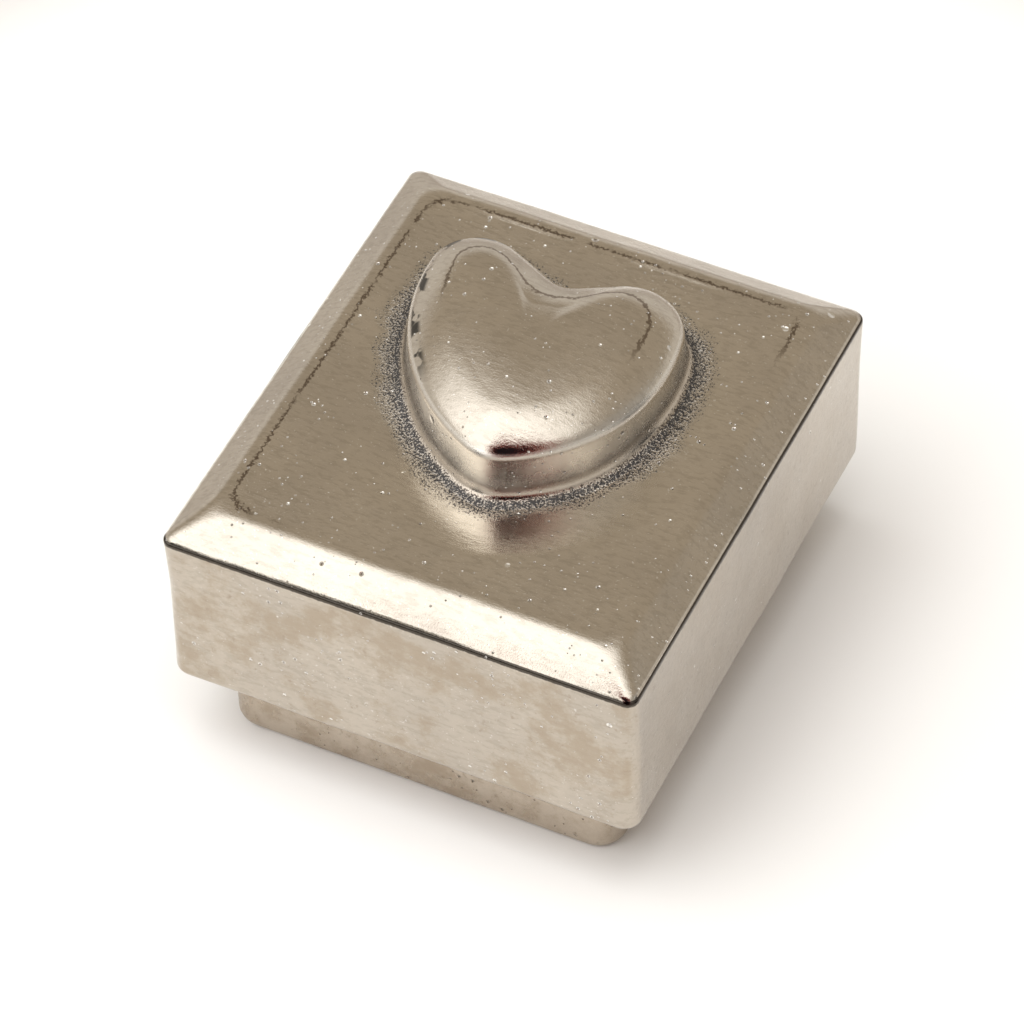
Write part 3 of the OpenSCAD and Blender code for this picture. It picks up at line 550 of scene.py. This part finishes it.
def make_lid():
    heart = heart_outline()
    angles = spread_angles(heart)
    way = np.column_stack([np.cos(angles), np.sin(angles)])
    rim = ray_radius(angles, heart)
    edge_points = way * rim[:, None]
    along = np.roll(edge_points, -2, axis=0) - np.roll(edge_points, 2, axis=0)
    normal = np.column_stack([along[:, 1], -along[:, 0]]) / np.hypot(*along.T)[:, None]
    facing = np.clip((normal * way).sum(axis=1), 0.6, 1)
    window = np.hanning(63)[1:-1] / 31
    facing = np.convolve(np.concatenate([facing[-30:], facing, facing[:30]]), window, "valid")
    # The top is hollowed a little round the heart, most in front of it
    dish = 0.35 + 1.25 * smooth(-way[:, 1] + 0.2 * way[:, 0], 0.1, 0.8)
    rings, layers = [], {"heart_d": [], "bevel_d": [], "crease_d": [], "side": []}

    def add(radius, z, heart_d=20.0, bevel_d=9.0, crease_d=9.0, side=0.0):
        rings.append(np.column_stack([way * np.broadcast_to(radius, AROUND)[:, None],
                                      np.broadcast_to(z, AROUND)]))
        for key, value in zip(layers, (heart_d, bevel_d, crease_d, side)):
            layers[key].append(np.broadcast_to(value, AROUND).astype(float))

    # Crown: a low dome that rolls over a rounded shoulder to the rim
    inward, rise = shoulder_profile()
    crown_top = top_z + HEART_H
    rim_z = crown_top - DOME - rise[-1]
    middle = rim - inward[-1] / facing
    for t in np.linspace(0.02, 1, 34)[:-1]:
        add(middle * t, crown_top - DOME * t ** 2.2, -9.0)
    for k in range(len(inward) - 1, -1, -1):
        add(rim - inward[k] / facing, rim_z + rise[k], -inward[k] - 1)
    # Wall with a little draft, then the flare at its foot
    draft, flare_w, flare_h = 0.3, 2.0, 2.6
    foot_sink, plate_sink = 0.3, 0.5
    foot_top = top_z + flare_h - foot_sink
    for t in np.linspace(0, 1, 12)[1:]:
        out = draft * t
        add(rim + out / facing, rim_z + (foot_top - dish - rim_z) * t, out - 1.5)
    for a in np.radians(np.linspace(8, 84, 14)):
        out = draft + flare_w * (1 - math.cos(a))
        add(rim + out / facing, top_z - foot_sink - dish + flare_h * (1 - math.sin(a)), out - 0.6)
    foot = rings[-1]
    front = smooth(abs(np.angle(np.exp(1j * (angles + math.pi / 2)))), 0.80, 0.62)
    inner = ray_radius(angles, rect_outline(BEVEL_W, CORNER_R + 0.35 * BEVEL_W, WIDER))
    start = np.hypot(foot[:, 0], foot[:, 1])
    outline = way * rim[:, None]
    count = 46
    for k in range(1, count + 1):
        radius = start + (inner - start) * k / count
        away = distance_to(way * radius[:, None], outline)
        t = np.clip((away - 2.2) / 11.5, 0, 1)
        mound = -dish * (1 - t) * (1 - smooth(t, 0.8, 1.0) * 0.2)
        add(radius, top_z - plate_sink + mound, away, BEVEL_LINE)
    for s in np.linspace(0, 1, 21)[1:-1]:
        inset = BEVEL_W * (1 - s)
        radius = ray_radius(angles, rect_outline(inset, CORNER_R + 0.35 * inset, WIDER))
        z = top_z - (top_z - CREASE_Z) * (drop_of(s) + (s ** 1.9 - drop_of(s)) * front)
        add(radius, z - plate_sink * (1 - smooth(s, 0, 0.4)), bevel_d=BEVEL_LINE - s * BEVEL_W,
            crease_d=(1 - s) * BEVEL_W * 1.2)
    # Crisp rounded crease
    crease_r = 0.6
    tilt = math.atan((top_z - CREASE_Z) / BEVEL_W / (1 - BEVEL_ROUND / 2))
    for a in np.linspace(tilt, math.pi / 2, 7):
        inset = crease_r * (1 - math.sin(a))
        radius = ray_radius(angles, rect_outline(inset, CORNER_R))
        add(radius, CREASE_Z - crease_r * math.cos(tilt) + crease_r * math.cos(a),
            crease_d=0.1 * math.cos(a), side=0.3)
    side_top = rings[-1][0, 2]
    edge_r, below = 1.4, -20
    for t in np.linspace(0, 1, 44)[1:]:
        z = side_top + (skirt_z + edge_r - side_top) * t
        outer = ray_radius(angles, rect_outline(0, CORNER_R + (SKIRT_R - CORNER_R) * min(1, 3 * t)))
        add(outer, z, crease_d=z - side_top, side=1.0)
    for a in np.radians(np.linspace(0, 90, 9))[1:]:
        radius = ray_radius(angles, rect_outline(edge_r * (1 - math.cos(a)), SKIRT_R))
        add(radius, skirt_z + edge_r * (1 - math.sin(a)), crease_d=below, side=1.0)
    lip_r, inner_r = 0.6, 5.0
    lip = ray_radius(angles, rect_outline(WALL - lip_r, inner_r))
    inside = ray_radius(angles, rect_outline(WALL, inner_r))
    flat = np.hypot(rings[-1][:, 0], rings[-1][:, 1])
    add(flat * 0.5 + lip * 0.5, skirt_z, crease_d=below, side=1.0)
    for a in np.radians(np.linspace(0, 90, 6)):
        add(lip + (inside - lip) * math.sin(a), skirt_z + lip_r * (1 - math.cos(a)),
            crease_d=below, side=1.0)
    for t in np.linspace(0, 1, 22)[1:]:
        add(inside, skirt_z + lip_r + (CEILING_Z - skirt_z - lip_r) * t, crease_d=below, side=1.0)
    for t in np.linspace(1, 0.01, 18)[1:]:
        add(inside * t, CEILING_Z, crease_d=below, side=1.0)

    points = np.array(rings)
    points[:, :, 0] += HEART_AT[0]
    points[:, :, 1] += HEART_AT[1]
    x, y = points[:, :, 0] / box_w, points[:, :, 1] / box_d
    layers["back_left"] = np.maximum(smooth(-x, 0.25, 0.36), smooth(y, 0.25, 0.36))
    weathered(points, np.array(layers["side"]))
    obj = ring_mesh("lid_casting", points, layers)
    obj.data.materials.append(cast_nickel())
    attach(obj, "lid")
    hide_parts("lid")


def make_lining():
    """Felt glued under the lid's roof: a soft edge that thins out, and a napped face."""
    low, high = (np.array(c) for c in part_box("lid_lining"))
    obj = felt_slab("lining_felt", low, high, FELT_CORNER * MM, 90)
    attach(obj, "lid")
    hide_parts("lid_lining")


def make_pad():
    """Felt disc under the stop rod's arm, over the fly."""
    low, high = (np.array(c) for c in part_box("brake_pad"))
    radius = (high[0] - low[0]) / 2
    obj = felt_slab("brake_felt", low, high, radius * 0.999, 24)
    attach(obj, "stop_rod")
    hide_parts("brake_pad")


def felt_slab(name, low, high, corner, steps):
    """Closed slab of felt in a box, with rounded lower edges and a slightly uneven lower face."""
    half, middle = (high - low) / 2, (high + low) / 2
    thick = high[2] - low[2]
    corners = []
    for sx, sy, start in ((1, 1, 0), (-1, 1, 90), (-1, -1, 180), (1, -1, 270)):
        centre = (sx * (half[0] - corner), sy * (half[1] - corner))
        corners.append(arc(centre, corner, math.radians(start), math.radians(start + 90), steps))
    outline = np.vstack(corners)
    rings = []
    for t in np.linspace(0.05, 1, 14)[:-1]:
        rings.append((t, high[2]))
    for a in np.radians(np.linspace(0, 90, 7)):
        share = 1.0 - 0.18 * thick / half[0] * (1 - math.cos(a))
        rings.append((share, high[2] - thick * 0.75 * math.sin(a)))
    for t in np.linspace(1, 0.05, 30)[1:]:
        rings.append((t * (1 - 0.4 * thick / half[0]), low[2] + thick * 0.10))
    points = np.array([np.column_stack([outline * t, np.full(len(outline), z)])
                       for t, z in rings]) / MM
    under = points[:, :, 2] < (low[2] + thick * 0.5) / MM
    nap = 0.05 * thick / MM * noise2(points[:, :, 0], points[:, :, 1], 2.0, 12)
    points[:, :, 2] += np.where(under, nap, 0)
    points[:, :, 0] += middle[0] / MM
    points[:, :, 1] += middle[1] / MM
    return dress(ring_mesh(name, points, {}), "felt")


def dress(obj, name):
    """Gives the piece the palette's material of that name once the palette is painted."""
    DRESSED.append((obj, name))
    return obj


def waves(x, y, step, seed):
    """Slow waves, about as long as step in mm, with two finer ones on top."""
    return (0.11 * noise2(x, y, step, seed) + 0.035 * noise2(x, y, 6, seed + 1)
            + 0.006 * noise2(x, y, 2.3, seed + 2))


def weathered(points, side):
    """Gives the casting its slow waviness, inwards only, so that it stays inside its box."""
    x, y, z = points[:, :, 0], points[:, :, 1], points[:, :, 2]
    near_edge = 2.6
    inner = ((side > 0.5) & (z < CEILING_Z + 0.1)
             & (abs(x) < box_w / 2 - near_edge) & (abs(y) < box_d / 2 - near_edge))
    z -= np.where(side < 0.2, waves(x, y, 14, 3) + 0.155, 0)
    around = np.arctan2(y / box_d, x / box_w) * 50
    bulge = waves(around, z, 13, 6)
    shrink = np.where((side > 0.2) & ~inner, 1 - (bulge + 0.16) / 42, 1)
    x *= shrink
    y *= shrink


def ring_mesh(name, points, layers):
    """Closed skin through rings of points, in mm, with one float layer for each name."""
    rows, count = points.shape[:2]
    k, i = np.meshgrid(np.arange(rows - 1), np.arange(count), indexing="ij")
    j = (i + 1) % count
    upper, lower = k * count, (k + 1) * count
    quads = np.stack([upper + i, lower + i, lower + j, upper + j], axis=-1).reshape(-1, 4)
    first, last = points[0].mean(axis=0), points[-1].mean(axis=0)
    verts = np.vstack([points.reshape(-1, 3), first, last]) * MM
    top, bottom = rows * count, rows * count + 1
    edge = np.arange(count)
    nxt = (edge + 1) % count
    caps = [(top, int(a), int(b)) for a, b in zip(edge, nxt)]
    base = (rows - 1) * count
    caps += [(bottom, base + int(b), base + int(a)) for a, b in zip(edge, nxt)]
    mesh = bpy.data.meshes.new(name)
    mesh.from_pydata(verts.tolist(), [], quads.tolist() + caps)
    for layer, rows_of in layers.items():
        ends = [np.mean(rows_of[0]), np.mean(rows_of[-1])]
        values = np.concatenate([np.array(rows_of).ravel(), ends])
        attribute = mesh.attributes.new(layer, "FLOAT", "POINT")
        attribute.data.foreach_set("value", values)
    mesh.polygons.foreach_set("use_smooth", [True] * len(mesh.polygons))
    mesh.update()
    obj = bpy.data.objects.new(name, mesh)
    bpy.context.scene.collection.objects.link(obj)
    return obj


def paint_nodes():
    palette = {
        "base_plate": base_nickel(),
        "zinc_cast": plain_metal("zinc_casting", (0.50, 0.50, 0.49), (0.42, 0.42, 0.41), 0.4, 0.02),
        "steel": plain_metal("steel_bright", (0.62, 0.62, 0.62), (0.52, 0.52, 0.53), 0.2),
        "spring_steel": plain_metal("spring_steel", (0.20, 0.23, 0.30), (0.30, 0.27, 0.26), 0.28),
        "comb_steel": plain_metal("comb_steel", (0.66, 0.66, 0.67), (0.56, 0.56, 0.58), 0.16),
        "lead": plain_metal("lead_weight", (0.30, 0.31, 0.33), (0.22, 0.23, 0.25), 0.5, 0.02),
        "zinc_screw": plain_metal("zinc_screw", (0.68, 0.63, 0.50), (0.58, 0.52, 0.40), 0.25),
        "brass": plain_metal("brass", (0.76, 0.58, 0.27), (0.64, 0.46, 0.20), 0.2),
        "nickel_sheet": plain_metal("nickel_sheet", (0.68, 0.66, 0.62), (0.60, 0.58, 0.54), 0.2),
        "clip_steel": plain_metal("clip_steel", (0.10, 0.10, 0.11), (0.16, 0.15, 0.14), 0.35),
        "felt": plastic("felt", (0.05, 0.045, 0.05), (0.08, 0.07, 0.075), 0.95),
        "ivory_plastic": plastic("ivory_plastic", (0.80, 0.78, 0.70), (0.74, 0.72, 0.63), 0.38),
        "black_plastic": plastic("black_plastic", (0.02, 0.02, 0.022), (0.035, 0.035, 0.036), 0.4),
        "clear_cover": plastic("clear_cover", (0.97, 0.98, 0.98), (0.94, 0.96, 0.96), 0.015,
                               **{"Transmission Weight": 1.0, "IOR": 1.49}),
    }
    for obj, name in DRESSED:
        obj.data.materials.append(palette[name])
    for part in frame["record"]["subparts"]:
        obj = frame["nodes"][part["node"]]
        material = palette.get(part["material_slot"])
        if material is None:
            continue
        if obj.data.materials:
            for k in range(len(obj.data.materials)):
                obj.material_slots[k].material = material
        else:
            obj.data.materials.append(material)


make_camera()
make_world()
make_lights()
make_floor()
make_lid()
make_lining()
make_pad()
paint_nodes()
